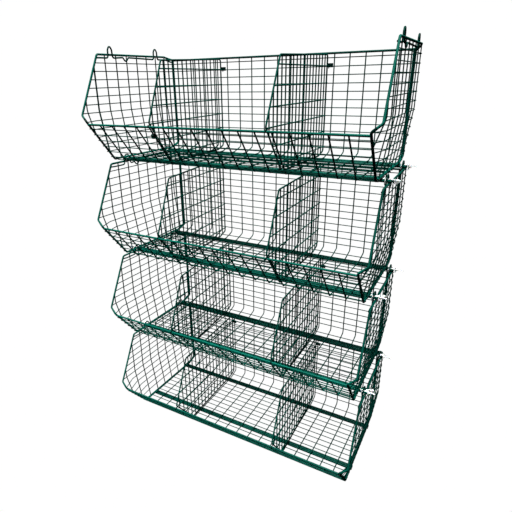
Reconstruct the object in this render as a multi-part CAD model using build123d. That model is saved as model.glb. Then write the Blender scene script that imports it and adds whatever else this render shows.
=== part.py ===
from build123d import *
import math
import os

# Wire basket stack: four equal welded wire baskets, one above the other, each with two lift-out dividers.
# Sizes in mm. A basket is drawn with x across, y = 0 at its back wall (forward is negative), z = 0 at its floor.

# Mesh: the long wires run front to back and up the walls, the cross wires lie outside them.
LONG_PITCH = 50.0
CROSS_PITCH = 25.0
LONG_SPACES = 18
LONG_WIRE = 3.5
CROSS_WIRE = 2.6
BACK_ROW_DROP = 13.0
FLOOR_ROW_INSET = 18.0
WELD_GAP = 0.02

# Basket profile, seen from the side. Depths are in front of the back wall.
SIDE_RAIL_Z = 330.0
BACK_RAIL_Z = 318.0
FRONT_TOP_Y = 360.0
NOSE_Y = 453.0
NOSE_Z = 150.0
LIP_Y = 456.0
LIP_Z = 123.0
LIP_FOOT_Y = 360.0
RAMP_RUN = 48.0
RAMP_RISE = 14.0

# Side walls lean out: half width at the back wall and its growth per mm of depth, at three heights.
BOTTOM_TUCK = 4.6
BOTTOM_SPLAY = 0.0145
WAIST_FLARE = 18.9
WAIST_SPLAY = 0.029
WAIST_Z = 160.0
TOP_FLARE = 17.9
TOP_SPLAY = 0.0235
BOTTOM_HALF = LONG_PITCH * LONG_SPACES / 2 - BOTTOM_TUCK
WAIST_HALF = BOTTOM_HALF + WAIST_FLARE
TOP_HALF = BOTTOM_HALF + TOP_FLARE

# Thicker wires: side frames and rails, and the two pairs of rods that carry the floor, each under a seat wire.
FRAME_WIRE = 6.0
FRAME_BEND = 9.0
LIP_CORNER_RISE = 8.0
ROD_SEAT = 3.0
ROD = 9.5
ROD_OVERHANG = 6.0
REAR_ROD_Y = 54.0
FRONT_ROD_Y = 286.0

# Stacking loops along the top of each side.
LOOP_WIRE = 4.0
LOOP_RUN_DROP = 10.0
LOOP_RISE = 24.0
LOOP_FOOT_HALF = 15.0
LOOP_SHOULDER_HALF = 13.0
LOOP_TOP_HALF = 5.0
LOOP_ARCH = 9.0
LOOP_REAR_Y = 8.0
NOTCH_Y = 232.0
NOTCH_DEPTH = 12.0
NOTCH_HALF = 9.0

# Side mesh.
SIDE_FIRST_Y = 28.0
SIDE_NOSE_ROOM = 20.0
SIDE_ROW_LOW = 20.0
ROW_BEND_LENGTH = 60.0

# Dividers. Each stands a little askew: the places of its rear and front ends, counted in mesh spaces from the
# left side, for every basket from the bottom up.
DIVIDER_PLACES = {
    "left": [(4.88, 4.98), (4.74, 5.20), (4.44, 4.82), (4.54, 4.94)],
    "right": [(12.88, 13.18), (12.90, 13.06), (12.52, 12.70), (12.60, 12.64)],
}
DIVIDER_FRAME = 4.0
DIVIDER_WIRE = 3.0
DIVIDER_REAR = 7.0
DIVIDER_REAR_DROP = 1.0
DIVIDER_FRONT_DROP = 12.0
DIVIDER_FRONT_SET = 10.0
DIVIDER_NOSE_RISE = 7.0
DIVIDER_LIP_GAP = 7.6
DIVIDER_FLOOR_GAP = 2.0
DIVIDER_CORNER = 6.0
CLIP_LENGTH = 20.0
CLIP_HEIGHT = 12.0
CLIP_THICK = 3.0
HOOK_GAP = 0.4
HOOK_DROP = 6.0
LIP_HOOK_GAP = 1.2
LIP_HOOK_RUN = 9.0
LIP_HOOK_DROP = 2.0

# Cable ties round each crossing of a pair of rods and the side rail below it.
TIE_WIDTH = 2.5
TIE_THICK = 1.0
TIE_CLEAR = 0.2
TIE_HEAD = 5.5
TIE_TAIL = 24.0

TIERS = 4
FRAME_REACH = FRAME_WIRE / 2 / math.cos(math.pi / 6) + WELD_GAP
PITCH = SIDE_RAIL_Z + FRAME_REACH + LONG_WIRE / 2 + ROD_SEAT + ROD


# Bars
def section_corners(centre, along, up, size, sides):
    """Corner points of a bar's section: one flat faces `up`, and `size` is the width across flats."""
    along = along.normalized()
    side = along.cross(up).normalized()
    top = side.cross(along)
    reach = size / 2 / math.cos(math.pi / sides)
    turns = [math.pi / sides + 2 * math.pi * k / sides for k in range(sides)]
    return [centre + top * (reach * math.cos(t)) + side * (reach * math.sin(t)) for t in turns]


def lengths(points, size, up, sides=4):
    """Straight bars along the points, mitred where two meet."""
    points = [Vector(*p) for p in points]
    ways = [(b - a).normalized() for a, b in zip(points, points[1:])]
    ring = section_corners(points[0], ways[0], Vector(*up), size, sides)
    bars = []
    for k, way in enumerate(ways):
        facing = way if k == len(ways) - 1 else (way + ways[k + 1]).normalized()
        far = [c + way * ((points[k + 1] - c).dot(facing) / way.dot(facing)) for c in ring]
        bars.append(Solid.make_loft([Wire.make_polygon(ring), Wire.make_polygon(far)], True))
        ring = far
    return bars


def bar(start, end, size, up, sides=4):
    """One straight bar."""
    return lengths([start, end], size, up, sides)[0]


def bent_bar(points, size, up, sides):
    """One solid bar that follows the points with mitred bends."""
    points = [Vector(*p) for p in points]
    corners = section_corners(points[0], points[1] - points[0], Vector(*up), size, sides)
    section = Face(Wire.make_polygon(corners))
    return sweep(section, path=Polyline(*points), transition=Transition.RIGHT).solid()


def eased(points, radius):
    """The points with each inner corner replaced by the two ends of a bend of that radius."""
    points = [Vector(*p) for p in points]
    path = [points[0]]
    for before, corner, after in zip(points, points[1:], points[2:]):
        back = (before - corner).normalized()
        ahead = (after - corner).normalized()
        half = math.acos(back.dot(ahead)) / 2
        reach = radius / math.tan(half)
        path.append(corner + back * reach)
        path.append(corner + ahead * reach)
    path.append(points[-1])
    return path


def mirrored(solids):
    return [s.mirror(Plane.YZ) for s in solids]


# Side wall surface
def bottom_x(y):
    """Half width of the basket along its bottom and lip edges."""
    return BOTTOM_HALF - BOTTOM_SPLAY * y


def side_x(y, z):
    """Half width of the side wall at depth y and height z."""
    waist = WAIST_HALF - WAIST_SPLAY * y
    if z < WAIST_Z:
        return bottom_x(y) + (waist - bottom_x(y)) * z / WAIST_Z
    top = TOP_HALF - TOP_SPLAY * y
    return waist + (top - waist) * (min(z, SIDE_RAIL_Z) - WAIST_Z) / (SIDE_RAIL_Z - WAIST_Z)


def on_side(y, z, out=0.0):
    return (side_x(y, z) + out, y, z)


# Profile of the bent mesh sheet: directions along and outward from its sloping parts
lip_run = LIP_Y - LIP_FOOT_Y
lip_length = math.hypot(lip_run, LIP_Z)
LIP_WAY = Vector(0, -lip_run, LIP_Z) / lip_length
LIP_OUT = Vector(0, -LIP_Z, -lip_run) / lip_length
RAMP_OUT = Vector(0, RAMP_RISE, -RAMP_RUN) / math.hypot(RAMP_RISE, RAMP_RUN)
BACK_OUT = Vector(0, 1, 0)
FLOOR_OUT = Vector(0, 0, -1)
OUTER = LONG_WIRE / 2 + WELD_GAP + CROSS_WIRE / 2


def lip_point(drop, out=0.0):
    """Point on the lip, `drop` below its rail along the slope and `out` beyond the long wires."""
    return Vector(0, -LIP_Y, LIP_Z) - LIP_WAY * drop + LIP_OUT * out


def inner_corner(y, z, out_a, out_b, inset):
    """Where two parts of the profile meet, `inset` inside the long wires."""
    return Vector(0, y, z) - (out_a + out_b) * (inset / (1 + out_a.dot(out_b)))


# Mesh sheet: back wall, floor and lip
def cross_wire(place, half, out):
    centre = place + out * OUTER
    return bar((-half, centre.Y, centre.Z), (half, centre.Y, centre.Z), CROSS_WIRE, out)


back_mesh, floor_mesh, lip_mesh = [], [], []
lip_end = lip_point(FRAME_WIRE / 2 + WELD_GAP)
for i in range(1, LONG_SPACES):
    x = (i - LONG_SPACES / 2) * LONG_PITCH
    path = [(x, 0, BACK_RAIL_Z - FRAME_WIRE / 2 - WELD_GAP), (x, 0, RAMP_RISE), (x, -RAMP_RUN, 0),
            (x, -LIP_FOOT_Y, 0), (x, lip_end.Y, lip_end.Z)]
    wire = lengths(path, LONG_WIRE, BACK_OUT)
    back_mesh.append(wire[0])
    floor_mesh += wire[1:3]
    lip_mesh.append(wire[3])

row_z = BACK_RAIL_Z - BACK_ROW_DROP
while row_z > RAMP_RISE + CROSS_WIRE:
    back_mesh.append(cross_wire(Vector(0, 0, row_z), side_x(0, row_z) + FRAME_WIRE / 2, BACK_OUT))
    row_z -= CROSS_PITCH

ramp_middle = Vector(0, -RAMP_RUN / 2, RAMP_RISE / 2)
floor_mesh.append(cross_wire(ramp_middle, bottom_x(ramp_middle.Y) + FRAME_WIRE / 2, RAMP_OUT))
rod_room = ROD + CROSS_WIRE / 2 + WELD_GAP
row_y = -LIP_FOOT_Y + FLOOR_ROW_INSET
while row_y < -RAMP_RUN:
    if min(abs(row_y + REAR_ROD_Y), abs(row_y + FRONT_ROD_Y)) > rod_room:
        floor_mesh.append(cross_wire(Vector(0, row_y, 0), bottom_x(row_y) + FRAME_WIRE / 2, FLOOR_OUT))
    row_y += CROSS_PITCH

# Rails across the back and along the lip
back_half = side_x(0, BACK_RAIL_Z) - FRAME_REACH
back_rail = [bar((-back_half, 0, BACK_RAIL_Z), (back_half, 0, BACK_RAIL_Z), FRAME_WIRE, (0, 0, 1), 6)]
lip_half = bottom_x(-LIP_Y) - FRAME_REACH
lip_rail = [bar((-lip_half, -LIP_Y, LIP_Z), (lip_half, -LIP_Y, LIP_Z), FRAME_WIRE, LIP_WAY, 6)]

# Bearers under the floor: in the bottom basket they stop at its own sides, above that they reach over the rails
seat_z = -(LONG_WIRE + ROD_SEAT) / 2
rod_z = seat_z - (ROD_SEAT + ROD) / 2


def bearers(tier):
    solids = []
    beside = (ROD + WELD_GAP) / 2
    for rod_y in (-REAR_ROD_Y + beside, -REAR_ROD_Y - beside, -FRONT_ROD_Y + beside, -FRONT_ROD_Y - beside):
        seat_half = bottom_x(rod_y) + FRAME_WIRE / 2
        solids.append(bar((-seat_half, rod_y, seat_z), (seat_half, rod_y, seat_z), ROD_SEAT, (0, 0, 1)))
        half = side_x(rod_y, SIDE_RAIL_Z) + ROD_OVERHANG if tier else seat_half
        solids.append(bar((-half, rod_y, rod_z), (half, rod_y, rod_z), ROD, (0, 0, 1), 8))
    return solids



# Side frame: one wire bent round the whole side, its outer face level with that of the long wires
INSET = FRAME_REACH - LONG_WIRE / 2
lip_corner = lip_point(-LIP_CORNER_RISE, -INSET)
lip_foot = inner_corner(-LIP_FOOT_Y, 0, FLOOR_OUT, LIP_OUT, INSET)
ramp_foot = inner_corner(-RAMP_RUN, 0, FLOOR_OUT, RAMP_OUT, INSET)
ramp_top = inner_corner(0, RAMP_RISE, BACK_OUT, RAMP_OUT, INSET)
weld_y = -FRONT_TOP_Y / 2
frame_path = [on_side(weld_y - WELD_GAP, SIDE_RAIL_Z), on_side(-FRONT_TOP_Y, SIDE_RAIL_Z),
              on_side(-NOSE_Y, NOSE_Z), (bottom_x(lip_corner.Y), lip_corner.Y, lip_corner.Z),
              (bottom_x(lip_foot.Y), lip_foot.Y, INSET), (bottom_x(ramp_foot.Y), ramp_foot.Y, INSET),
              on_side(-INSET, ramp_top.Z), on_side(-INSET, WAIST_Z),
              on_side(-INSET, SIDE_RAIL_Z), on_side(weld_y + WELD_GAP, SIDE_RAIL_Z)]
side_frame = [bent_bar(eased(frame_path, FRAME_BEND), FRAME_WIRE, (0, 0, 1), 6)]


# Side mesh
def slope_gap(run, rise, half):
    """Distance along `run` that keeps a square-ended wire of that half width clear of a sloping frame wire."""
    return (FRAME_REACH * math.hypot(run, rise) + half * run) / rise + WELD_GAP


front_run = NOSE_Y - FRONT_TOP_Y
front_rise = SIDE_RAIL_Z - NOSE_Z


def front_edge(z):
    """Point (x, y) of the side frame's front edge at height z."""
    if z > NOSE_Z:
        y = -NOSE_Y + front_run * (z - NOSE_Z) / front_rise
        return side_x(y, z), y
    if z > lip_corner.Z:
        t = (z - lip_corner.Z) / (NOSE_Z - lip_corner.Z)
        low_x = bottom_x(lip_corner.Y)
        return low_x + (side_x(-NOSE_Y, NOSE_Z) - low_x) * t, lip_corner.Y + (-NOSE_Y - lip_corner.Y) * t
    y = lip_foot.Y + (lip_corner.Y - lip_foot.Y) * (z - INSET) / (lip_corner.Z - INSET)
    return bottom_x(y), y


def upright_top(y):
    """Top of a side upright, under the rail or under the sloping front edge."""
    if y > -FRONT_TOP_Y:
        return SIDE_RAIL_Z - FRAME_REACH - WELD_GAP
    return SIDE_RAIL_Z + (y + FRONT_TOP_Y) * front_rise / front_run - slope_gap(front_rise, front_run, LONG_WIRE / 2)


def upright_foot(y):
    """Foot of a side upright, on the ramp, the bottom wire or the sloping lip edge."""
    if y < lip_foot.Y:
        return INSET + (lip_foot.Y - y) * LIP_Z / lip_run + slope_gap(LIP_Z, lip_run, LONG_WIRE / 2)
    climb = max(0.0, y - ramp_foot.Y) * RAMP_RISE / RAMP_RUN
    return INSET + climb + slope_gap(RAMP_RISE, RAMP_RUN, LONG_WIRE)


side_mesh = []
y = -SIDE_FIRST_Y
while y > -NOSE_Y + SIDE_NOSE_ROOM:
    path = [(bottom_x(y), y, upright_foot(y)), on_side(y, WAIST_Z), on_side(y, upright_top(y))]
    side_mesh += lengths(path, LONG_WIRE, BACK_OUT)
    y -= LONG_PITCH

z = SIDE_RAIL_Z - CROSS_PITCH
while z > SIDE_ROW_LOW:
    edge_x, edge_y = front_edge(z)
    rear = on_side(-INSET - FRAME_REACH, z, OUTER)
    if z > NOSE_Z:
        near_y = edge_y + slope_gap(front_run, front_rise, CROSS_WIRE / 2)
        path = [rear, on_side(near_y, z, OUTER)]
    else:
        near_y = edge_y + slope_gap(lip_run, LIP_Z, CROSS_WIRE / 2)
        path = [rear, on_side(edge_y + ROW_BEND_LENGTH, z, OUTER), (edge_x + OUTER, near_y, z)]
    side_mesh += lengths(path, CROSS_WIRE, (0, 0, 1))
    z -= CROSS_PITCH

# Stacking loops: one wire inside the top rail, bent up into two loops and down into a small notch
loop_in = -FRAME_REACH - LOOP_WIRE / 2
run_z = SIDE_RAIL_Z - LOOP_RUN_DROP
loop_z = SIDE_RAIL_Z + LOOP_RISE


def loop_outline(centre):
    rising = [(LOOP_FOOT_HALF, run_z), (LOOP_SHOULDER_HALF, loop_z - LOOP_ARCH), (LOOP_TOP_HALF, loop_z)]
    return [(centre - half, z) for half, z in rising] + [(centre + half, z) for half, z in reversed(rising)]


notch = [(-NOTCH_Y - NOTCH_HALF, run_z), (-NOTCH_Y, run_z - NOTCH_DEPTH), (-NOTCH_Y + NOTCH_HALF, run_z)]
outline = [(front_edge(run_z)[1], run_z)] + loop_outline(-FRONT_ROD_Y) + notch
outline += loop_outline(-REAR_ROD_Y) + [(-LOOP_REAR_Y, run_z)]
stack_loops = lengths([on_side(y, z, loop_in) for y, z in outline], LOOP_WIRE, (1, 0, 0))

# Divider: a flat framed panel with uprights and rows, its rear end at the origin
lip_nose = lip_point(-DIVIDER_NOSE_RISE, -DIVIDER_LIP_GAP)
lip_low = inner_corner(-LIP_FOOT_Y, 0, FLOOR_OUT, LIP_OUT, DIVIDER_LIP_GAP)
toe_y = lip_low.Y + DIVIDER_LIP_GAP
ramp_low = inner_corner(-RAMP_RUN, 0, FLOOR_OUT, RAMP_OUT, DIVIDER_FLOOR_GAP)
heel_z = ramp_low.Z + (-DIVIDER_REAR - ramp_low.Y) * RAMP_RISE / RAMP_RUN
rear_top = BACK_RAIL_Z - DIVIDER_REAR_DROP
front_top = BACK_RAIL_Z - DIVIDER_FRONT_DROP
corner_y = -FRONT_TOP_Y - DIVIDER_FRONT_SET
panel = [(-DIVIDER_REAR, rear_top), (corner_y + DIVIDER_CORNER, front_top),
         (corner_y - DIVIDER_CORNER / 2, front_top - DIVIDER_CORNER),
         (lip_nose.Y, lip_nose.Z), (lip_low.Y, lip_low.Z), (toe_y, DIVIDER_FLOOR_GAP),
         (ramp_low.Y, DIVIDER_FLOOR_GAP), (-DIVIDER_REAR, heel_z)]
outer_face = make_face(Polyline(*panel, close=True))
inner_face = offset(outer_face, -DIVIDER_FRAME, kind=Kind.INTERSECTION)
divider = [extrude(Plane.YZ * (outer_face - inner_face), DIVIDER_FRAME / 2, both=True).solid()]
room = extrude(Plane.YZ * inner_face, DIVIDER_FRAME * 2, both=True).solid()
y = -DIVIDER_REAR - CROSS_PITCH
while y > lip_nose.Y + CROSS_PITCH / 2:
    upright = bar((0, y, 0), (0, y, rear_top), DIVIDER_WIRE, BACK_OUT)
    divider.append((upright & room).solid())
    y -= CROSS_PITCH
row_x = DIVIDER_WIRE + WELD_GAP
z = front_top - CROSS_PITCH
while z > RAMP_RISE:
    row = bar((row_x, 0, z), (row_x, -NOSE_Y, z), DIVIDER_WIRE, (0, 0, 1))
    divider.append((row & room).solid())
    z -= LONG_PITCH

# Divider clips: a plate with a hook over a back wire, and a hook beside the nose that drops over the lip rail
hook_row = BACK_RAIL_Z - BACK_ROW_DROP - CROSS_PITCH
hook_z = hook_row + (CROSS_WIRE + CLIP_THICK) / 2 + WELD_GAP
clip_y = -DIVIDER_REAR + CLIP_THICK / 2 + WELD_GAP
plate = Pos((CLIP_LENGTH - DIVIDER_FRAME) / 2, clip_y, hook_z) * Box(CLIP_LENGTH, CLIP_THICK, CLIP_HEIGHT)
hook_y = OUTER + (CROSS_WIRE + CLIP_THICK) / 2 + HOOK_GAP
hook_path = [(0, clip_y + CLIP_THICK / 2, hook_z), (0, hook_y, hook_z), (0, hook_y, hook_row - HOOK_DROP)]
lip_hook_x = (DIVIDER_FRAME + CLIP_THICK) / 2 + WELD_GAP
lip_hook_y = -LIP_Y - FRAME_REACH - CLIP_THICK / 2 - LIP_HOOK_GAP
lip_hook_z = LIP_Z + FRAME_REACH + CLIP_THICK / 2
lip_hook_path = [(lip_hook_x, -LIP_Y + LIP_HOOK_RUN, lip_hook_z), (lip_hook_x, lip_hook_y, lip_hook_z),
                 (lip_hook_x, lip_hook_y, LIP_Z - LIP_HOOK_DROP)]
divider += [plate.solid()] + lengths(hook_path, CLIP_THICK, (1, 0, 0))
divider += lengths(lip_hook_path, CLIP_THICK, (1, 0, 0))


def placed_divider(rear_place, front_place):
    """The divider turned to run from one place to the other, both counted in mesh spaces."""
    rear_x = (rear_place - LONG_SPACES / 2) * LONG_PITCH
    turn = math.degrees(math.atan2((front_place - rear_place) * LONG_PITCH, LIP_Y))
    return [s.moved(Pos(rear_x, 0, 0) * Rot(0, 0, turn)) for s in divider]


# Cable tie: a band in an upright diagonal plane, with a head and a tail that points out and back
def tie(rod_y):
    rod_top = PITCH + rod_z + ROD / 2
    rail_low = SIDE_RAIL_Z - FRAME_REACH
    height = rod_top - rail_low + TIE_CLEAR
    half = math.hypot(ROD, ROD) + TIE_WIDTH / 2 + TIE_CLEAR
    outer = half + TIE_THICK
    place = Plane((side_x(rod_y, SIDE_RAIL_Z), rod_y, (rod_top + rail_low) / 2), (1, 1, 0), (1, -1, 0))
    loop = Rectangle(2 * outer, height + 2 * TIE_THICK) - Rectangle(2 * half, height)
    band = extrude(place * loop, TIE_WIDTH / 2, both=True)
    block = place * Pos(outer + TIE_HEAD / 2, 0, 0) * Box(TIE_HEAD, TIE_HEAD, TIE_HEAD)
    tail = place * Pos(outer + TIE_HEAD + TIE_TAIL / 2, 0, 0) * Box(TIE_TAIL, TIE_THICK, TIE_WIDTH)
    return [band.solid(), block.solid(), tail.solid()]


ties = tie(-REAR_ROD_Y) + tie(-FRONT_ROD_Y)
ties += mirrored(ties)

# Stack the baskets
basket = {
    "back_mesh": back_mesh, "floor_mesh": floor_mesh, "lip_mesh": lip_mesh,
    "back_rail": back_rail, "lip_rail": lip_rail,
    "side_frame_right": side_frame, "side_frame_left": mirrored(side_frame),
    "side_mesh_right": side_mesh, "side_mesh_left": mirrored(side_mesh),
    "stack_loops_right": stack_loops, "stack_loops_left": mirrored(stack_loops),
}
nodes = {}
for tier in range(TIERS):
    lift = Pos(0, 0, tier * PITCH)
    basket["bearers"] = bearers(tier)
    for hand, places in DIVIDER_PLACES.items():
        basket["divider_" + hand] = placed_divider(*places[tier])
    for name, solids in basket.items():
        nodes[f"basket_{tier + 1}_{name}"] = [s.moved(lift) for s in solids]
    if tier < TIERS - 1:
        nodes[f"ties_{tier + 1}_{tier + 2}"] = [s.moved(lift) for s in ties]

# Put the origin under the middle of the whole stack, and write one file per node
box = Compound([s for solids in nodes.values() for s in solids]).bounding_box()
centre = box.center()
to_origin = Pos(-centre.X, -centre.Y, -box.min.Z)
os.makedirs("parts", exist_ok=True)
for name, solids in nodes.items():
    part = Compound([s.moved(to_origin) for s in solids])
    part.label = name
    export_step(part, f"parts/{name}.step")
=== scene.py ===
import math

import bmesh
import bpy
import numpy as np
from mathutils import Matrix, Vector


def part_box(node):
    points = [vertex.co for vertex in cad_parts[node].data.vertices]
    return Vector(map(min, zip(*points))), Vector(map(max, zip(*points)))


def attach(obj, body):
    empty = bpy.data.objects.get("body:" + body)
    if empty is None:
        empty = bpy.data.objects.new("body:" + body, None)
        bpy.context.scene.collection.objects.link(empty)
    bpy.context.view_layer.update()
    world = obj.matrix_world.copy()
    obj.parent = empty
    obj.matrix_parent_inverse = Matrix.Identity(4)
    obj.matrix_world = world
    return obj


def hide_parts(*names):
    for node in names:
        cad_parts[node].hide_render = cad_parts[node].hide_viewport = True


# Wire basket stack: round coated wires, nylon ties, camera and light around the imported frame.
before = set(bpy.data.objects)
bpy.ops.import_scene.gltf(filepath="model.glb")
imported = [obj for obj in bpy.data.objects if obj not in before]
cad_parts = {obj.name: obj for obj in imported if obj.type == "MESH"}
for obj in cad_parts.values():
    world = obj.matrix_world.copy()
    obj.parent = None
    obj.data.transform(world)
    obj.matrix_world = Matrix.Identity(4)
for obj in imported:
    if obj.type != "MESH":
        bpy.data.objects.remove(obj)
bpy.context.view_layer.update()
scene = bpy.context.scene

# Sizes are in mm, in a basket's own frame: x across, z = 0 at the floor, y = 0 at the back wall and negative
# towards the front. A size whose name ends in _Y is a distance in front of the back wall.
TIERS = 4
MM_PER_M = 1000

# Mesh spacing, and where the first rows and uprights stand
LONG_PITCH, CROSS_PITCH, LONG_SPACES = 50.0, 25.0, 18
BACK_ROW_DROP, LIP_ROW_DROP, FLOOR_ROW_INSET = 13.0, 15.0, 18.0
SIDE_FIRST_Y, SIDE_UPRIGHTS, SIDE_ROWS = 28.0, 9, 12

# Gauges of the CAD's mesh, and the reach of its six-sided frame bars, which set how the wires lie
CAD_LONG, CAD_CROSS, WELD_GAP = 3.5, 2.6, 0.02
FRAME_REACH = 3.48
OUTER = CAD_LONG / 2 + WELD_GAP + CAD_CROSS / 2
INSET = FRAME_REACH - CAD_LONG / 2

# Radii of the round wires: thin ones on the right sides, one heavy upright on the top basket's left side
LONG_R, CROSS_R = 1.82, 1.38
THIN_LONG_R, THIN_CROSS_R = 1.55, 1.25
HEAVY_UPRIGHT, HEAVY_R = 7, 2.5
FRAME_R, SHEET_EDGE_R = 3.2, 2.0
LIP_LONG_R, LIP_EDGE_R = 2.2, 3.5
LOOP_R, TOP_LOOP_R = 2.2, 2.5
SEAT_R, ROD_R = 1.5, 4.75
DIVIDER_FRAME_R, DIVIDER_R, DIVIDER_FOOT_R, HOOK_R = 2.4, 1.85, 2.7, 1.35

# Bend radii, and sides of the round wires
WIRE_BEND, UPRIGHT_BEND, ROW_BEND, LOOP_BEND, HOOK_BEND = 9.0, 60.0, 40.0, 8.0, 2.4
WIRE_SIDES, LOOP_SIDES, FRAME_SIDES, ROD_SIDES = 10, 12, 14, 16

# Profile of a basket, and its half widths at three heights
SIDE_RAIL_Z, BACK_RAIL_Z = 330.0, 318.0
FRONT_TOP_Y = 360.0
NOSE_Y, NOSE_Z = 453.0, 150.0
LIP_Y, LIP_Z, LIP_FOOT_Y = 456.0, 123.0, 360.0
RAMP_RUN, RAMP_RISE = 48.0, 14.0
BOTTOM_HALF, BOTTOM_SPLAY = 445.4, 0.0145
WAIST_HALF, WAIST_SPLAY, WAIST_Z = 464.3, 0.029, 160.0
TOP_HALF, TOP_SPLAY = 463.3, 0.0235

# How wires end and meet at the rails, the lip and the rounded rear corners
END_GAP = 1.0
ROW_OVERHANG = 3.0
LIP_JOIN, LIP_CORNER_RISE = 15.0, 8.0
CORNER_Y, CORNER_TURN_Y, CORNER_SHARE = SIDE_FIRST_Y, 7.0, 0.7
ROW_BEND_LENGTH, ROW_END_BACK, ROW_END_SHARE = 60.0, 1.5, 0.6

# Rods, and stacking loops with the places of the front and rear loop on the top basket
ROD_OVERHANG = 6.0
REAR_ROD_Y, FRONT_ROD_Y = 54.0, 286.0
LOOP_RUN_DROP, LOOP_RISE, LOOP_JOIN, LOOP_REAR_Y, LOOP_END_DROP = 10.0, 23.75, 15.0, 8.0, 8.0
LOOP_FOOT_HALF, LOOP_SHOULDER_HALF, LOOP_TOP_HALF, LOOP_ARCH = 15.0, 13.0, 5.0, 9.0
NOTCH_Y, NOTCH_DEPTH, NOTCH_HALF, NOTCH_SHOULDER = 238.0, 12.0, 13.0, 3.0
TOP_LOOPS = {"left": (308.0, 84.0), "right": (278.0, 48.0)}
LOOP_WIDTH, TOP_LOOP_WIDTH = 1.0, 0.68

# Dividers, with their clip plates and hooks, and the dark clip at the front of the top left one
DIVIDER_REAR_Y, DIVIDER_REAR_TOP, DIVIDER_FRONT_Y, DIVIDER_FRONT_TOP = 7.0, 317.0, 370.0, 306.0
DIVIDER_NOSE_RISE, DIVIDER_LIP_GAP, DIVIDER_FLOOR_GAP = 7.0, 7.6, 2.0
DIVIDER_JOIN, DIVIDER_ROW_X = 12.0, 3.0
CLIP_LENGTH, CLIP_HEIGHT, CLIP_THICK, CLIP_SHIFT = 20.0, 12.0, 3.0, 2.0
HOOK_RISE, HOOK_REACH, HOOK_DROP = 2.92, 6.27, 6.0
LIP_HOOK_X, LIP_HOOK_RISE, LIP_HOOK_RUN, LIP_HOOK_REACH, LIP_HOOK_DROP = 3.52, 4.98, 9.0, 6.18, 2.0
LIP_CLIP, LIP_CLIP_DROP, LIP_CLIP_X = (10.0, 12.0, 9.0), 44.0, -10.0

# Rear and front ends of the dividers, counted in mesh spaces from the left side, from the bottom basket up
DIVIDER_PLACES = {
    "left": [(4.88, 4.98), (4.74, 5.20), (4.44, 4.82), (4.54, 4.94)],
    "right": [(12.88, 13.18), (12.90, 13.06), (12.52, 12.70), (12.60, 12.64)],
}

# Cable ties: strap, lock and free end
TIE_WIDTH, TIE_THICK, TIE_ROUND, TIE_HALF, TIE_GAP, TIE_ARC_STEPS = 5.0, 1.2, 4.0, 14.9, 0.1, 4
TAIL_WIDTH, TAIL_END, TAIL_RISE, TAIL_SAG, TAIL_STEPS = 6.5, 501.5, 1.4, 3.0, 8
FRONT_TAIL_START, REAR_TAIL_START = 449.0, 462.0
FRONT_HEAD, REAR_HEAD = (13.0, 8.0, 8.0), (6.0, 5.5, 5.0)

# Shapes, each given as vertices in mm and faces
# An arc takes at most this share of the way to the next corner; a corner this near to straight has none
CORNER_ROOM, NEARLY_STRAIGHT, ARC_STEPS = 0.48, math.radians(88), 5
# A way that no wire starts along, the limit of a ring's stretch, and the least turn that stretches it
SLANT, LEAST_COSINE, NO_TURN = (0.31, 0.17, 0.94), 0.5, 1e-9


def rounded(points, radius):
    """The points with each inner corner turned into an arc of that radius, as far as its neighbours allow."""
    points = [Vector(p) for p in points]
    path = [points[0]]
    for before, corner, after in zip(points, points[1:], points[2:]):
        back, ahead = before - corner, after - corner
        room = min(back.length, ahead.length) * CORNER_ROOM
        back, ahead = back.normalized(), ahead.normalized()
        half = math.acos(max(-1.0, min(1.0, back.dot(ahead)))) / 2
        if half > NEARLY_STRAIGHT:
            path.append(corner)
            continue
        bend = min(radius, room * math.tan(half))
        centre = corner + (back + ahead).normalized() * (bend / math.sin(half))
        first = corner + back * (bend / math.tan(half)) - centre
        last = corner + ahead * (bend / math.tan(half)) - centre
        sweep = math.pi - 2 * half
        for s in range(ARC_STEPS + 1):
            t = s / ARC_STEPS
            a = math.sin((1 - t) * sweep) / math.sin(sweep)
            b = math.sin(t * sweep) / math.sin(sweep)
            path.append(centre + first * a + last * b)
    path.append(points[-1])
    return path


def tube(points, radius, sides=WIRE_SIDES):
    """A round wire along the points. Its rings are stretched at bends, so that it keeps its width there."""
    p = np.array([tuple(v) for v in points], float)
    n = len(p)
    steps = np.diff(p, axis=0)
    ways = np.gradient(p, axis=0)
    ways /= np.linalg.norm(ways, axis=1)[:, None]
    side = np.cross(ways[0], SLANT)
    angles = np.linspace(0, 2 * math.pi, sides, endpoint=False)
    rings = []
    for k, way in enumerate(ways):
        side = side - way * np.dot(side, way)
        side /= np.linalg.norm(side)
        ring = np.outer(np.cos(angles), side) + np.outer(np.sin(angles), np.cross(way, side))
        before, after = steps[max(k - 1, 0)], steps[min(k, n - 2)]
        turn = np.dot(before, after) / (np.linalg.norm(before) * np.linalg.norm(after))
        stretch = 1 / max(LEAST_COSINE, math.sqrt(max(0.0, (1 + turn) / 2)))
        out = np.cross(np.cross(before, after), way)
        if np.linalg.norm(out) > NO_TURN:
            out /= np.linalg.norm(out)
            ring += np.outer(ring @ out, out) * (stretch - 1)
        rings.append(p[k] + ring * radius)
    faces = []
    for k in range(n - 1):
        a, b = k * sides, (k + 1) * sides
        for s in range(sides):
            t = (s + 1) % sides
            faces.append((a + s, a + t, b + t, b + s))
    faces.append(tuple(range(sides - 1, -1, -1)))
    faces.append(tuple((n - 1) * sides + s for s in range(sides)))
    return np.concatenate(rings), faces


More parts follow.
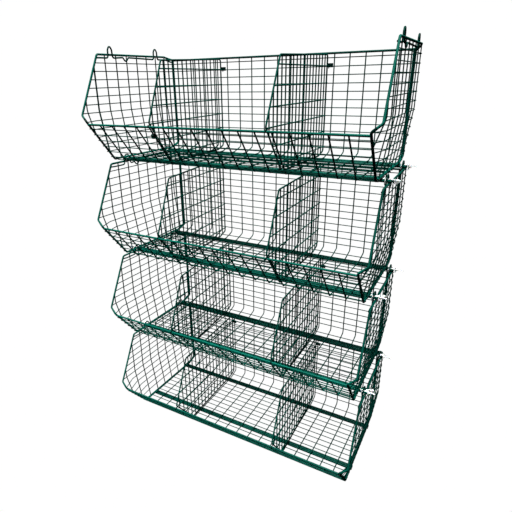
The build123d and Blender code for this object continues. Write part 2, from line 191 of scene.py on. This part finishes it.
def block(centre, size, axes=((1, 0, 0), (0, 1, 0), (0, 0, 1))):
    """A box of that size along the axes."""
    signs = np.array([(x, y, z) for x in (-1, 1) for y in (-1, 1) for z in (-1, 1)])
    verts = np.array(centre, float) + (signs * np.array(size, float) / 2) @ np.array(axes, float)
    faces = [(0, 1, 3, 2), (4, 6, 7, 5), (0, 4, 5, 1), (2, 3, 7, 6), (0, 2, 6, 4), (1, 5, 7, 3)]
    return verts, faces


def band(points, wide, width, thick, closed):
    """A flat strap along the points, as a loop or with two ends."""
    p = np.array(points, float)
    n = len(p)
    ways = np.roll(p, -1, axis=0) - np.roll(p, 1, axis=0) if closed else np.gradient(p, axis=0)
    ways /= np.linalg.norm(ways, axis=1)[:, None]
    wide = np.array(wide, float)
    verts, faces = [], []
    for k in range(n):
        out = np.cross(ways[k], wide)
        for a, b in ((-1, 0), (1, 0), (1, 1), (-1, 1)):
            verts.append(p[k] + wide * (a * width / 2) + out * (b * thick))
    for k in range(n if closed else n - 1):
        a, b = 4 * k, 4 * ((k + 1) % n)
        for s in range(4):
            t = (s + 1) % 4
            faces.append((a + s, a + t, b + t, b + s))
    if not closed:
        faces += [(3, 2, 1, 0), (4 * n - 4, 4 * n - 3, 4 * n - 2, 4 * n - 1)]
    return np.array(verts), faces


def mirrored(shapes):
    """The shapes seen in a mirror, from the right side to the left."""
    return [(verts * (-1, 1, 1), [tuple(reversed(face)) for face in faces]) for verts, faces in shapes]


# Pieces on the frame, in metres
SHARP_ANGLE = math.radians(50)
back_rail_boxes = [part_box(f"basket_{tier + 1}_back_rail") for tier in range(TIERS)]
wall_y = (back_rail_boxes[0][0].y + back_rail_boxes[0][1].y) / 2
floor_z = [(low.z + high.z) / 2 - BACK_RAIL_Z / MM_PER_M for low, high in back_rail_boxes]


def piece(name, shapes, coat, body, nodes, tier):
    """One object from several shapes, placed on its basket, that stands for those CAD nodes."""
    verts, faces, start = [], [], 0
    for shape_verts, shape_faces in shapes:
        verts.append(shape_verts)
        faces += [tuple(i + start for i in face) for face in shape_faces]
        start += len(shape_verts)
    verts = np.concatenate(verts) / MM_PER_M + np.array((0, wall_y, floor_z[tier]))
    mesh = bpy.data.meshes.new(name)
    mesh.from_pydata(verts.tolist(), [], faces)
    mesh.validate()
    mesh.materials.append(coat)
    mesh.shade_smooth()
    mesh.set_sharp_from_angle(angle=SHARP_ANGLE)
    obj = bpy.data.objects.new(name, mesh)
    scene.collection.objects.link(obj)
    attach(obj, body)
    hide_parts(*nodes)


def basket_piece(tier, name, shapes, coat, nodes, body="stack"):
    """A piece of one basket, named after it, that stands for nodes of the same basket."""
    basket = f"basket_{tier + 1}_"
    piece(basket + name, shapes, coat, body, [basket + node for node in nodes], tier)


# Side wall surface and profile
def bottom_x(y):
    """Half width of the floor and the lip."""
    return BOTTOM_HALF - BOTTOM_SPLAY * y


def side_x(y, z):
    """Half width between the side walls, which lean out to the waist and stand almost upright above it."""
    waist = WAIST_HALF - WAIST_SPLAY * y
    if z < WAIST_Z:
        return bottom_x(y) + (waist - bottom_x(y)) * z / WAIST_Z
    top = TOP_HALF - TOP_SPLAY * y
    return waist + (top - waist) * (min(z, SIDE_RAIL_Z) - WAIST_Z) / (SIDE_RAIL_Z - WAIST_Z)


def on_side(y, z, out=0.0):
    """A point on the right side wall, or that far outside it."""
    return (side_x(y, z) + out, y, z)


lip_run = LIP_Y - LIP_FOOT_Y
lip_length = math.hypot(lip_run, LIP_Z)
LIP_WAY = Vector((0, -lip_run, LIP_Z)) / lip_length
LIP_OUT = Vector((0, -LIP_Z, -lip_run)) / lip_length
RAMP_OUT = Vector((0, RAMP_RISE, -RAMP_RUN)).normalized()
BACK_OUT = Vector((0, 1, 0))
FLOOR_OUT = Vector((0, 0, -1))


def lip_point(drop, out=0.0):
    """A point of the lip, that far down from its rail and that far outside the sheet."""
    return Vector((0, -LIP_Y, LIP_Z)) - LIP_WAY * drop + LIP_OUT * out


def inner_corner(y, z, out_a, out_b, inset):
    """A corner of the bent sheet moved inside both of its faces."""
    return Vector((0, y, z)) - (out_a + out_b) * (inset / (1 + out_a.dot(out_b)))


def across(place, half, out):
    """A cross wire outside the sheet."""
    centre = place + out * OUTER
    return tube([(-half, centre.y, centre.z), (half, centre.y, centre.z)], CROSS_R)


# Bent mesh sheet
sheet, lip_wires, lip_rows = [], [], []
lip_end = lip_point(END_GAP)
for i in range(1, LONG_SPACES):
    x = (i - LONG_SPACES / 2) * LONG_PITCH
    join = (x, -LIP_FOOT_Y + LIP_JOIN, 0)
    path = [(x, 0, BACK_RAIL_Z - END_GAP), (x, 0, RAMP_RISE), (x, -RAMP_RUN, 0), join]
    sheet.append(tube(rounded(path, WIRE_BEND), LONG_R))
    path = [join, (x, -LIP_FOOT_Y, 0), (x, lip_end.y, lip_end.z)]
    lip_wires.append(tube(rounded(path, WIRE_BEND), LIP_LONG_R))
z = BACK_RAIL_Z - BACK_ROW_DROP
while z > RAMP_RISE + 2 * CROSS_R:
    sheet.append(across(Vector((0, 0, z)), BOTTOM_HALF + ROW_OVERHANG, BACK_OUT))
    z -= CROSS_PITCH
ramp_middle = Vector((0, -RAMP_RUN / 2, RAMP_RISE / 2))
sheet.append(across(ramp_middle, bottom_x(ramp_middle.y) + ROW_OVERHANG, RAMP_OUT))
y = -LIP_FOOT_Y + FLOOR_ROW_INSET
while y < -RAMP_RUN:
    if min(abs(y + REAR_ROD_Y), abs(y + FRONT_ROD_Y)) > 2 * ROD_R + CROSS_R:
        sheet.append(across(Vector((0, y, 0)), bottom_x(y) + ROW_OVERHANG, FLOOR_OUT))
    y += CROSS_PITCH
drop = LIP_ROW_DROP
while drop < lip_length - 2 * CROSS_R:
    place = lip_point(drop)
    lip_rows.append(across(place, bottom_x(place.y) + ROW_OVERHANG, LIP_OUT))
    drop += CROSS_PITCH

# Rails and rods
lip_half = bottom_x(-LIP_Y)
back_rail = [tube([(-BOTTOM_HALF, 0, BACK_RAIL_Z), (BOTTOM_HALF, 0, BACK_RAIL_Z)], FRAME_R, FRAME_SIDES)]
lip_rail = [tube([(-lip_half, -LIP_Y, LIP_Z), (lip_half, -LIP_Y, LIP_Z)], FRAME_R, FRAME_SIDES)]
seat_z = -CAD_LONG / 2 - SEAT_R
rod_z = seat_z - SEAT_R - ROD_R


def rods(tier, pair_y):
    """A pair of rods, each under a seat wire; the bottom basket's rods stop at its sides."""
    shapes = []
    for rod_y in (pair_y + ROD_R, pair_y - ROD_R):
        seat_half = bottom_x(rod_y) + FRAME_R
        half = side_x(rod_y, SIDE_RAIL_Z) + ROD_OVERHANG if tier else seat_half
        shapes.append(tube([(-seat_half, rod_y, seat_z), (seat_half, rod_y, seat_z)], SEAT_R))
        shapes.append(tube([(-half, rod_y, rod_z), (half, rod_y, rod_z)], ROD_R, ROD_SIDES))
    return shapes


# Side frame, drawn for the right side
lip_corner = lip_point(-LIP_CORNER_RISE, -INSET)
lip_foot = inner_corner(-LIP_FOOT_Y, 0, FLOOR_OUT, LIP_OUT, INSET)
ramp_foot = inner_corner(-RAMP_RUN, 0, FLOOR_OUT, RAMP_OUT, INSET)
ramp_top = inner_corner(0, RAMP_RISE, BACK_OUT, RAMP_OUT, INSET)


def rear_corner(z, out=0.0):
    """Two points of the rounded corner between the upright at the end of the back wall and the side."""
    flare = side_x(0, z) - BOTTOM_HALF
    return [(BOTTOM_HALF + (flare + out) * CORNER_SHARE, -CORNER_TURN_Y, z), on_side(-CORNER_Y, z, out)]


side_nose = Vector(on_side(-NOSE_Y, NOSE_Z))
edge_high = Vector((bottom_x(lip_corner.y), lip_corner.y, lip_corner.z))
edge_low = Vector((bottom_x(lip_foot.y), lip_foot.y, INSET))
high_join = (side_nose + edge_high) / 2
low_join = Vector((bottom_x(lip_foot.y + LIP_JOIN), lip_foot.y + LIP_JOIN, INSET))
rear_path = [low_join, (bottom_x(ramp_foot.y), ramp_foot.y, INSET), (BOTTOM_HALF, -INSET, ramp_top.z),
             (BOTTOM_HALF, -INSET, BACK_RAIL_Z)]
sheet_edge = [Vector(p) - Vector((FRAME_R + SHEET_EDGE_R, 0, 0)) for p in rear_path]
corner_turn = rear_corner((BACK_RAIL_Z + SIDE_RAIL_Z) / 2)[0]
top_path = [(BOTTOM_HALF - CORNER_TURN_Y, 0, BACK_RAIL_Z), corner_turn, on_side(-CORNER_Y, SIDE_RAIL_Z),
            on_side(-FRONT_TOP_Y, SIDE_RAIL_Z), side_nose, high_join]
edge_path = [high_join, edge_high, edge_low, low_join]
side_frame = [tube(rounded(path, WIRE_BEND), FRAME_R, FRAME_SIDES) for path in (rear_path, top_path)]
side_frame.append(tube(rounded(sheet_edge, WIRE_BEND), SHEET_EDGE_R))
lip_edge = [tube(rounded(edge_path, WIRE_BEND), LIP_EDGE_R, FRAME_SIDES)]


# Side mesh, drawn for the right side
def front_edge(z):
    """x and y of the side frame's front at that height."""
    if z > NOSE_Z:
        y = -NOSE_Y + (NOSE_Y - FRONT_TOP_Y) * (z - NOSE_Z) / (SIDE_RAIL_Z - NOSE_Z)
        return side_x(y, z), y
    if z > lip_corner.z:
        t = (z - lip_corner.z) / (NOSE_Z - lip_corner.z)
        low = bottom_x(lip_corner.y)
        return low + (side_x(-NOSE_Y, NOSE_Z) - low) * t, lip_corner.y + (-NOSE_Y - lip_corner.y) * t
    y = lip_foot.y + (lip_corner.y - lip_foot.y) * (z - INSET) / (lip_corner.z - INSET)
    return bottom_x(y), y


def side_top(y):
    """Height of the side frame's upper edge."""
    if y > -FRONT_TOP_Y:
        return SIDE_RAIL_Z
    return SIDE_RAIL_Z + (y + FRONT_TOP_Y) * (SIDE_RAIL_Z - NOSE_Z) / (NOSE_Y - FRONT_TOP_Y)


def side_foot(y):
    """Height of the side frame's lower edge."""
    if y < lip_foot.y:
        return INSET + (lip_foot.y - y) * LIP_Z / lip_run
    return INSET + max(0.0, y - ramp_foot.y) * RAMP_RISE / RAMP_RUN


def side_mesh(upright_r, row_r, heavy_r):
    """Uprights and rows of a side; the lower rows bend in towards the lip, and one upright may be heavier."""
    wires = []
    for k in range(SIDE_UPRIGHTS):
        y = -SIDE_FIRST_Y - k * LONG_PITCH
        foot = (bottom_x(y), y, side_foot(y) + END_GAP)
        path = [foot, on_side(y, WAIST_Z), on_side(y, side_top(y) - END_GAP)]
        wires.append(tube(rounded(path, UPRIGHT_BEND), heavy_r if k == HEAVY_UPRIGHT else upright_r))
    for k in range(SIDE_ROWS):
        z = SIDE_RAIL_Z - (k + 1) * CROSS_PITCH
        edge_x, edge_y = front_edge(z)
        path = [(BOTTOM_HALF + OUTER, -INSET, z)] + rear_corner(z, OUTER)
        if z < NOSE_Z:
            path.append(on_side(edge_y + ROW_BEND_LENGTH, z, OUTER))
        path.append((edge_x + OUTER * ROW_END_SHARE, edge_y + ROW_END_BACK, z))
        wires.append(tube(rounded(path, ROW_BEND), row_r))
    return wires


side_meshes = {"left": side_mesh(LONG_R, CROSS_R, LONG_R),
               "right": side_mesh(THIN_LONG_R, THIN_CROSS_R, THIN_LONG_R)}
top_side_meshes = {"left": side_mesh(LONG_R, CROSS_R, HEAVY_R), "right": side_meshes["right"]}


# Stacking loops, drawn for the right side
def loop_wire(front_y, rear_y, width, radius):
    """One wire inside the side rail: two loops of that share of the full width, and a notch between them."""
    run_z = SIDE_RAIL_Z - LOOP_RUN_DROP
    top_z = SIDE_RAIL_Z + LOOP_RISE + LOOP_R - radius
    half_widths = [(LOOP_FOOT_HALF, run_z), (LOOP_SHOULDER_HALF, top_z - LOOP_ARCH), (LOOP_TOP_HALF, top_z)]

    def loop(centre):
        rising = [(centre - half * width, z) for half, z in half_widths]
        return rising + [(centre + half * width, z) for half, z in reversed(half_widths)]

    notch = [(-NOTCH_Y - NOTCH_HALF, run_z + NOTCH_SHOULDER), (-NOTCH_Y, run_z - NOTCH_DEPTH),
             (-NOTCH_Y + NOTCH_HALF, run_z + NOTCH_SHOULDER)]
    front_end = front_edge(run_z)[1]
    outline = [(front_end + LOOP_JOIN, run_z)] + loop(-front_y) + notch + loop(-rear_y) + [(-CORNER_Y, run_z)]
    path = [on_side(front_end, run_z)] + [on_side(y, z, -FRAME_REACH - radius) for y, z in outline]
    path.append((BOTTOM_HALF, -LOOP_REAR_Y, run_z - LOOP_END_DROP))
    return [tube(rounded(path, LOOP_BEND), radius, LOOP_SIDES)]


stack_loops = loop_wire(FRONT_ROD_Y, REAR_ROD_Y, LOOP_WIDTH, LOOP_R)
top_loops = {hand: loop_wire(*places, TOP_LOOP_WIDTH, TOP_LOOP_R) for hand, places in TOP_LOOPS.items()}

# Divider panel, drawn at x = 0
nose = lip_point(-DIVIDER_NOSE_RISE, -DIVIDER_LIP_GAP)
lip_low = inner_corner(-LIP_FOOT_Y, 0, FLOOR_OUT, LIP_OUT, DIVIDER_LIP_GAP)
ramp_low = inner_corner(-RAMP_RUN, 0, FLOOR_OUT, RAMP_OUT, DIVIDER_FLOOR_GAP)
heel_z = ramp_low.z + (-DIVIDER_REAR_Y - ramp_low.y) * RAMP_RISE / RAMP_RUN
panel = [(-DIVIDER_REAR_Y, DIVIDER_REAR_TOP), (-DIVIDER_FRONT_Y, DIVIDER_FRONT_TOP), (nose.y, nose.z),
         (lip_low.y, lip_low.z), (lip_low.y + DIVIDER_LIP_GAP, DIVIDER_FLOOR_GAP),
         (ramp_low.y, DIVIDER_FLOOR_GAP), (-DIVIDER_REAR_Y, heel_z)]


def inset_panel(points, depth):
    """The outline moved inwards by that depth."""
    moved = []
    n = len(points)
    for k in range(n):
        a, b, c = (Vector(points[(k + s) % n]) for s in (-1, 0, 1))
        before, after = (b - a).normalized(), (c - b).normalized()
        n1, n2 = Vector((-before.y, before.x)), Vector((-after.y, after.x))
        moved.append(b + (n1 + n2) * (depth / (1 + n1.dot(n2))))
    return moved


ring = inset_panel(panel, DIVIDER_FRAME_R)
foot_front, foot_rear = ring[4] + Vector((DIVIDER_JOIN, 0)), ring[5] - Vector((DIVIDER_JOIN, 0))
frame_points = [foot_rear, ring[5], ring[6]] + ring[0:5] + [foot_front]
divider_path = rounded([(0, p.x, p.y) for p in frame_points], WIRE_BEND)
divider = [tube(divider_path, DIVIDER_FRAME_R, LOOP_SIDES)]
foot_z = foot_front.y + DIVIDER_FOOT_R - DIVIDER_FRAME_R
divider_foot = [tube([(0, foot_front.x, foot_z), (0, foot_rear.x, foot_z)], DIVIDER_FOOT_R, LOOP_SIDES)]


def chord(axis, value):
    """Where a line at that y or z crosses the divider's frame: the lowest and highest crossing."""
    hits = []
    for a, b in zip(ring, ring[1:] + ring[:1]):
        u, v = (a.x, b.x) if axis == "y" else (a.y, b.y)
        if (u - value) * (v - value) < 0:
            t = (value - u) / (v - u)
            hits.append(a.y + (b.y - a.y) * t if axis == "y" else a.x + (b.x - a.x) * t)
    return min(hits), max(hits)


y = -DIVIDER_REAR_Y - CROSS_PITCH
while y > nose.y + CROSS_PITCH / 2:
    low, high = chord("y", y)
    divider.append(tube([(0, y, low), (0, y, high)], DIVIDER_R))
    y -= CROSS_PITCH
z = DIVIDER_FRONT_TOP - CROSS_PITCH
while z > RAMP_RISE:
    low, high = chord("z", z)
    divider.append(tube([(DIVIDER_ROW_X, low, z), (DIVIDER_ROW_X, high, z)], DIVIDER_R))
    z -= LONG_PITCH

# Clip plate and hooks of a divider, and the clip at the front of the top left one
hook_row = BACK_RAIL_Z - BACK_ROW_DROP - CROSS_PITCH
hook_z = hook_row + HOOK_RISE
plate_y = -DIVIDER_REAR_Y + CLIP_THICK / 2
plate_place = (CLIP_LENGTH / 2 - CLIP_SHIFT, plate_y, hook_z)
plate = block(plate_place, (CLIP_LENGTH, CLIP_THICK, CLIP_HEIGHT))
hook = [(0, plate_y, hook_z), (0, HOOK_REACH, hook_z), (0, HOOK_REACH, hook_row - HOOK_DROP)]
lip_hook_y, lip_hook_z = -LIP_Y - LIP_HOOK_REACH, LIP_Z + LIP_HOOK_RISE
lip_hook = [(LIP_HOOK_X, -LIP_Y + LIP_HOOK_RUN, lip_hook_z), (LIP_HOOK_X, lip_hook_y, lip_hook_z),
            (LIP_HOOK_X, lip_hook_y, LIP_Z - LIP_HOOK_DROP)]
clips = [plate] + [tube(rounded(path, HOOK_BEND), HOOK_R) for path in (hook, lip_hook)]
lip_clip_place = lip_point(LIP_CLIP_DROP, -DIVIDER_LIP_GAP) + Vector((LIP_CLIP_X, 0, 0))
lip_clip = block(lip_clip_place, LIP_CLIP, ((1, 0, 0), LIP_WAY, LIP_OUT))


def placed(shapes, rear_place, front_place):
    """The divider's shapes turned to run from one place to the other."""
    rear_x = (rear_place - LONG_SPACES / 2) * LONG_PITCH
    turn = math.atan2((front_place - rear_place) * LONG_PITCH, LIP_Y)
    c, s = math.cos(turn), math.sin(turn)
    spin = np.array(((c, s, 0), (-s, c, 0), (0, 0, 1)))
    return [(verts @ spin + np.array((rear_x, 0, 0)), faces) for verts, faces in shapes]


# Cable ties, drawn for the right side
def tie(rod_y, tail_start, head_size):
    """A strap round a pair of rods and the rail below, its lock, and the free end along the front rod."""
    low = SIDE_RAIL_Z - FRAME_REACH
    rod_top = SIDE_RAIL_Z + FRAME_REACH + 2 * ROD_R
    centre = np.array((side_x(rod_y, SIDE_RAIL_Z), rod_y, (rod_top + low) / 2))
    slant = np.array((1, 1, 0)) / math.sqrt(2)
    normal = np.array((1, -1, 0)) / math.sqrt(2)
    up = np.array((0, 0, 1.0))
    half_run, half_rise = TIE_HALF - TIE_ROUND, (rod_top - low) / 2 + TIE_GAP - TIE_ROUND
    outline = []
    for quarter, (run_sign, rise_sign) in enumerate(((1, 1), (-1, 1), (-1, -1), (1, -1))):
        for s in range(TIE_ARC_STEPS + 1):
            angle = math.pi / 2 * (quarter + s / TIE_ARC_STEPS)
            run = run_sign * half_run + TIE_ROUND * math.cos(angle)
            rise = rise_sign * half_rise + TIE_ROUND * math.sin(angle)
            outline.append(centre + slant * run + up * rise)
    strap = band(outline, -normal, TIE_WIDTH, TIE_THICK, True)
    head_place = centre + slant * (TIE_HALF + TIE_THICK + head_size[0] / 2)
    head = block(head_place, head_size, (slant, up, normal))
    tail = []
    for s in range(TAIL_STEPS + 1):
        t = s / TAIL_STEPS
        x = tail_start + (TAIL_END - tail_start) * t
        tail.append((x, rod_y - ROD_R, rod_top + TAIL_RISE - TAIL_SAG * t * t))
    return [strap, head, band(tail, (0, -1, 0), TAIL_WIDTH, TIE_THICK, False)]


ties = tie(-REAR_ROD_Y, REAR_TAIL_START, REAR_HEAD) + tie(-FRONT_ROD_Y, FRONT_TAIL_START, FRONT_HEAD)
ties += mirrored(ties)

# Materials: blotches and fine grain of the coat, scuffs where the grain is high, and nylon. The one green
# coat also comes in lighter and darker copies of the mesh coat, which are painted light and painted shade
BLOTCH_SCALE, BLOTCH_DETAIL, BLOTCH_START, BLOTCH_END = 9.0, 4.0, 0.35, 0.68
GRAIN_SCALE, GRAIN_DETAIL, SCUFF_START, SCUFF_END = 160.0, 3.0, 0.66, 0.78
SCUFF_COLOUR = (0.10, 0.16, 0.14)
GLOSS_BELOW, GLOSS_ABOVE, COAT_SPECULAR = 0.08, 0.12, 0.08
NYLON_SCALE, NYLON_DETAIL, NYLON_DARK, NYLON_LIGHT = 60.0, 2.0, (0.80, 0.81, 0.79), (0.92, 0.93, 0.92)
NYLON_ROUGH, NYLON_SUBSURFACE = 0.45, 0.1


def new_material(name):
    """A material with its node tree and its shader."""
    material = bpy.data.materials.new(name)
    material.use_nodes = True
    return material, material.node_tree, material.node_tree.nodes["Principled BSDF"]


def noise(tree, scale, detail):
    """Noise in the object's own space."""
    place = tree.nodes.new("ShaderNodeTexCoord")
    node = tree.nodes.new("ShaderNodeTexNoise")
    node.inputs["Scale"].default_value = scale
    node.inputs["Detail"].default_value = detail
    tree.links.new(place.outputs["Object"], node.inputs["Vector"])
    return node.outputs["Fac"]


def ramp(tree, value, stops):
    """Colours between stops, each a position and a colour."""
    node = tree.nodes.new("ShaderNodeValToRGB")
    for element, (position, colour) in zip(node.color_ramp.elements, stops):
        element.position = position
        element.color = (*colour, 1)
    tree.links.new(value, node.inputs["Fac"])
    return node.outputs["Color"]


def coated(name, dark, light, rough, worn):
    """Dark green plastic coated wire: uneven colour, small scuffs, soft sheen."""
    material, tree, shader = new_material(name)
    grain = noise(tree, GRAIN_SCALE, GRAIN_DETAIL)
    blotches = noise(tree, BLOTCH_SCALE, BLOTCH_DETAIL)
    colour = ramp(tree, blotches, [(BLOTCH_START, dark), (BLOTCH_END, light)])
    scuffs = ramp(tree, grain, [(SCUFF_START, (0, 0, 0)), (SCUFF_END, (worn, worn, worn))])
    mix = tree.nodes.new("ShaderNodeMix")
    mix.data_type = "RGBA"
    mix.inputs["B"].default_value = (*SCUFF_COLOUR, 1)
    tree.links.new(scuffs, mix.inputs["Factor"])
    tree.links.new(colour, mix.inputs["A"])
    tree.links.new(mix.outputs["Result"], shader.inputs["Base Color"])
    gloss = tree.nodes.new("ShaderNodeMapRange")
    gloss.inputs["To Min"].default_value = rough - GLOSS_BELOW
    gloss.inputs["To Max"].default_value = rough + GLOSS_ABOVE
    tree.links.new(grain, gloss.inputs["Value"])
    tree.links.new(gloss.outputs["Result"], shader.inputs["Roughness"])
    shader.inputs["Specular IOR Level"].default_value = COAT_SPECULAR
    return material


def nylon():
    """White nylon of the cable ties."""
    material, tree, shader = new_material("tie_nylon")
    colour = ramp(tree, noise(tree, NYLON_SCALE, NYLON_DETAIL), [(0, NYLON_DARK), (1, NYLON_LIGHT)])
    tree.links.new(colour, shader.inputs["Base Color"])
    shader.inputs["Roughness"].default_value = NYLON_ROUGH
    shader.inputs["Subsurface Weight"].default_value = NYLON_SUBSURFACE
    return material


mesh_wire = coated("mesh_wire", (0.00078, 0.04217, 0.03124), (0.00125, 0.06404, 0.04686), 0.45, 0.10)
# Painted light: a lighter copy of the same green coat, for the frame wires, rails and rods that catch the
# light
frame_wire = coated("frame_wire", (0.00156, 0.09528, 0.07029), (0.00219, 0.13746, 0.10153), 0.42, 0.15)
# The dividers' coat, which is also painted light as a half-lit copy, lighter than the mesh coat, on the lower
# lips, the bottom basket's lip rail and front rods, and the lower baskets' right side frames
divider_wire = coated("divider_wire", (0.00109, 0.06248, 0.04530), (0.00156, 0.09060, 0.06717), 0.42, 0.12)
# Painted shade: a darker copy of the same green coat, for the top basket's lip wires and lip edges, whose
# outer faces turn down away from the light
shaded_wire = coated("shaded_wire", (0.0005, 0.019, 0.014), (0.0008, 0.031, 0.023), 0.45, 0.05)
clip_coat = coated("clip_coat", (0.00047, 0.01874, 0.01406), (0.00078, 0.03124, 0.02343), 0.50, 0.10)
tie_nylon = nylon()

# Painted light and shade on each lip's long wires, rows and ends, from the bottom basket up: the top basket's
# lip faces down and away from the light, so its long wires and ends take the darkest copy, and the lower lips
# seen from above take lighter ones
LIP_SHADING = [(divider_wire, divider_wire, divider_wire), (divider_wire, divider_wire, frame_wire),
             (mesh_wire, mesh_wire, frame_wire), (shaded_wire, mesh_wire, shaded_wire)]

# Put the pieces on every basket
for tier in range(TIERS):
    top = tier == TIERS - 1
    lip_wire_shading, lip_row_shading, lip_edge_shading = LIP_SHADING[tier]
    # Painted light and shade on the rods and lip rail: the lit copy at the front, and the half-lit one on the
    # bottom basket; the rear rods under a basket above take the darker mesh coat as painted shade, and the
    # top basket's rear rods take the lit copy
    front_shading = frame_wire if tier else divider_wire
    rear_shading = frame_wire if top else mesh_wire
    basket_piece(tier, "sheet", sheet, mesh_wire, ["back_mesh", "floor_mesh"])
    basket_piece(tier, "lip_wires", lip_wires, lip_wire_shading, ["lip_mesh"])
    basket_piece(tier, "lip_rows", lip_rows, lip_row_shading, ["lip_mesh"])
    basket_piece(tier, "back_rail_wire", back_rail, mesh_wire, ["back_rail"])
    basket_piece(tier, "lip_rail_wire", lip_rail, front_shading, ["lip_rail"])
    basket_piece(tier, "rods_front", rods(tier, -FRONT_ROD_Y), front_shading, ["bearers"])
    basket_piece(tier, "rods_rear", rods(tier, -REAR_ROD_Y), rear_shading, ["bearers"])
    for hand in ("right", "left"):
        turned = mirrored if hand == "left" else list
        # Painted light and shade on the side frames: the lit copy, and the darker half-lit one on the lower
        # baskets' right sides
        side_shading = divider_wire if hand == "right" and not top else frame_wire
        wires = top_side_meshes[hand] if top else side_meshes[hand]
        loops = top_loops[hand] if top else stack_loops
        side_node, mesh_node, loop_node = f"side_frame_{hand}", f"side_mesh_{hand}", f"stack_loops_{hand}"
        basket_piece(tier, f"side_frame_wire_{hand}", turned(side_frame), side_shading, [side_node])
        basket_piece(tier, f"lip_edge_{hand}", turned(lip_edge), lip_edge_shading, [side_node])
        basket_piece(tier, f"side_wires_{hand}", turned(wires), mesh_wire, [mesh_node])
        basket_piece(tier, f"loops_{hand}", turned(loops), mesh_wire, [loop_node])
    for hand, places in DIVIDER_PLACES.items():
        body, node = f"divider_{tier + 1}_{hand}", f"divider_{hand}"
        extra = [lip_clip] if top and hand == "left" else []
        panel_wires = placed(divider, *places[tier])
        foot_wire = placed(divider_foot, *places[tier])
        clip_shapes = placed(clips + extra, *places[tier])
        basket_piece(tier, f"divider_panel_{hand}", panel_wires, divider_wire, [node], body)
        # The divider feet are drawn in the same darker copy of the coat, which is painted shade
        basket_piece(tier, f"divider_foot_{hand}", foot_wire, shaded_wire, [node], body)
        basket_piece(tier, f"divider_clips_{hand}", clip_shapes, clip_coat, [], body)
    if not top:
        tie_node = f"ties_{tier + 1}_{tier + 2}"
        piece(tie_node + "_straps", ties, tie_nylon, "stack", [tie_node], tier)

# Floor and backdrop in metres, evenly white and seen only by the camera
FLOOR_HALF = 60.0
BACKDROP_RADIUS, BACKDROP_SEGMENTS, BACKDROP_RINGS = 40.0, 48, 24
STAGE_GLOW, STAGE_ROUGH = 1.003, 0.9
VIEW_GAMMA = 0.85
scene.view_settings.view_transform = "Standard"
scene.view_settings.gamma = VIEW_GAMMA


def stage(name, mesh):
    """A stage object that glows white and neither lights nor shades the part."""
    paint, _, shader = new_material(name + "_paint")
    shader.inputs["Base Color"].default_value = (0, 0, 0, 1)
    shader.inputs["Roughness"].default_value = STAGE_ROUGH
    shader.inputs["Specular IOR Level"].default_value = 0.0
    shader.inputs["Emission Color"].default_value = (1, 1, 1, 1)
    shader.inputs["Emission Strength"].default_value = STAGE_GLOW
    mesh.materials.append(paint)
    obj = bpy.data.objects.new(name, mesh)
    scene.collection.objects.link(obj)
    obj.visible_diffuse = False
    obj.visible_glossy = False
    obj.visible_shadow = False


floor_corners = [(x * FLOOR_HALF, y * FLOOR_HALF, 0) for x, y in ((-1, -1), (1, -1), (1, 1), (-1, 1))]
floor_mesh = bpy.data.meshes.new("floor")
floor_mesh.from_pydata(floor_corners, [], [(0, 1, 2, 3)])
stage("floor", floor_mesh)
dome = bmesh.new()
bmesh.ops.create_uvsphere(dome, u_segments=BACKDROP_SEGMENTS, v_segments=BACKDROP_RINGS,
                          radius=BACKDROP_RADIUS)
dome_mesh = bpy.data.meshes.new("backdrop")
dome.to_mesh(dome_mesh)
dome.free()
stage("backdrop", dome_mesh)

# Soft light from above, with a key from the upper front
SKY_STRENGTH = 0.5
SKY_STEPS = [(0.0, 0.02), (0.30, 0.06), (0.9, 1.0)]
KEY_STRENGTH, KEY_ANGLE = 8.0, math.radians(30)
KEY_WAY = Vector((0.0, 0.22, -1.0))
world = bpy.data.worlds.new("studio")
scene.world = world
world.use_nodes = True
sky_nodes, sky_links = world.node_tree.nodes, world.node_tree.links
sky_way = sky_nodes.new("ShaderNodeTexCoord")
sky_split = sky_nodes.new("ShaderNodeSeparateXYZ")
sky_ramp = sky_nodes.new("ShaderNodeValToRGB")
sky_ramp.color_ramp.elements.new(SKY_STEPS[1][0])
for element, (height, level) in zip(sky_ramp.color_ramp.elements, SKY_STEPS):
    element.position = height
    element.color = (level, level, level, 1)
sky_links.new(sky_way.outputs["Generated"], sky_split.inputs["Vector"])
sky_links.new(sky_split.outputs["Z"], sky_ramp.inputs["Fac"])
sky_links.new(sky_ramp.outputs["Color"], sky_nodes["Background"].inputs["Color"])
sky_nodes["Background"].inputs["Strength"].default_value = SKY_STRENGTH
key_data = bpy.data.lights.new("key", "SUN")
key_data.energy = KEY_STRENGTH
key_data.angle = KEY_ANGLE
key = bpy.data.objects.new("key", key_data)
key.rotation_euler = KEY_WAY.to_track_quat("-Z", "Y").to_euler()
scene.collection.objects.link(key)

# Camera, in metres and in pixels of the 512 x 512 frame
EYE = Vector((0.71536, -1.28584, 1.30388))
FORWARD = Vector((-0.460300, 0.793538, -0.398021))
RIGHT = Vector((0.869043, 0.494354, -0.019425))
FOCAL_PX, CENTRE_X, CENTRE_Y, FRAME_PX = 444.484, 240.60, 272.49, 512
SENSOR_MM = 36.0
camera_data = bpy.data.cameras.new("camera")
camera_data.sensor_width = SENSOR_MM
camera_data.lens = FOCAL_PX / FRAME_PX * SENSOR_MM
camera_data.shift_x = (FRAME_PX / 2 - CENTRE_X) / FRAME_PX
camera_data.shift_y = (CENTRE_Y - FRAME_PX / 2) / FRAME_PX
camera = bpy.data.objects.new("camera", camera_data)
back = -FORWARD.normalized()
right = (RIGHT - back * RIGHT.dot(back)).normalized()
up = back.cross(right)
camera.matrix_world = Matrix(((right.x, up.x, back.x, EYE.x), (right.y, up.y, back.y, EYE.y),
                              (right.z, up.z, back.z, EYE.z), (0, 0, 0, 1)))
scene.collection.objects.link(camera)
scene.camera = camera
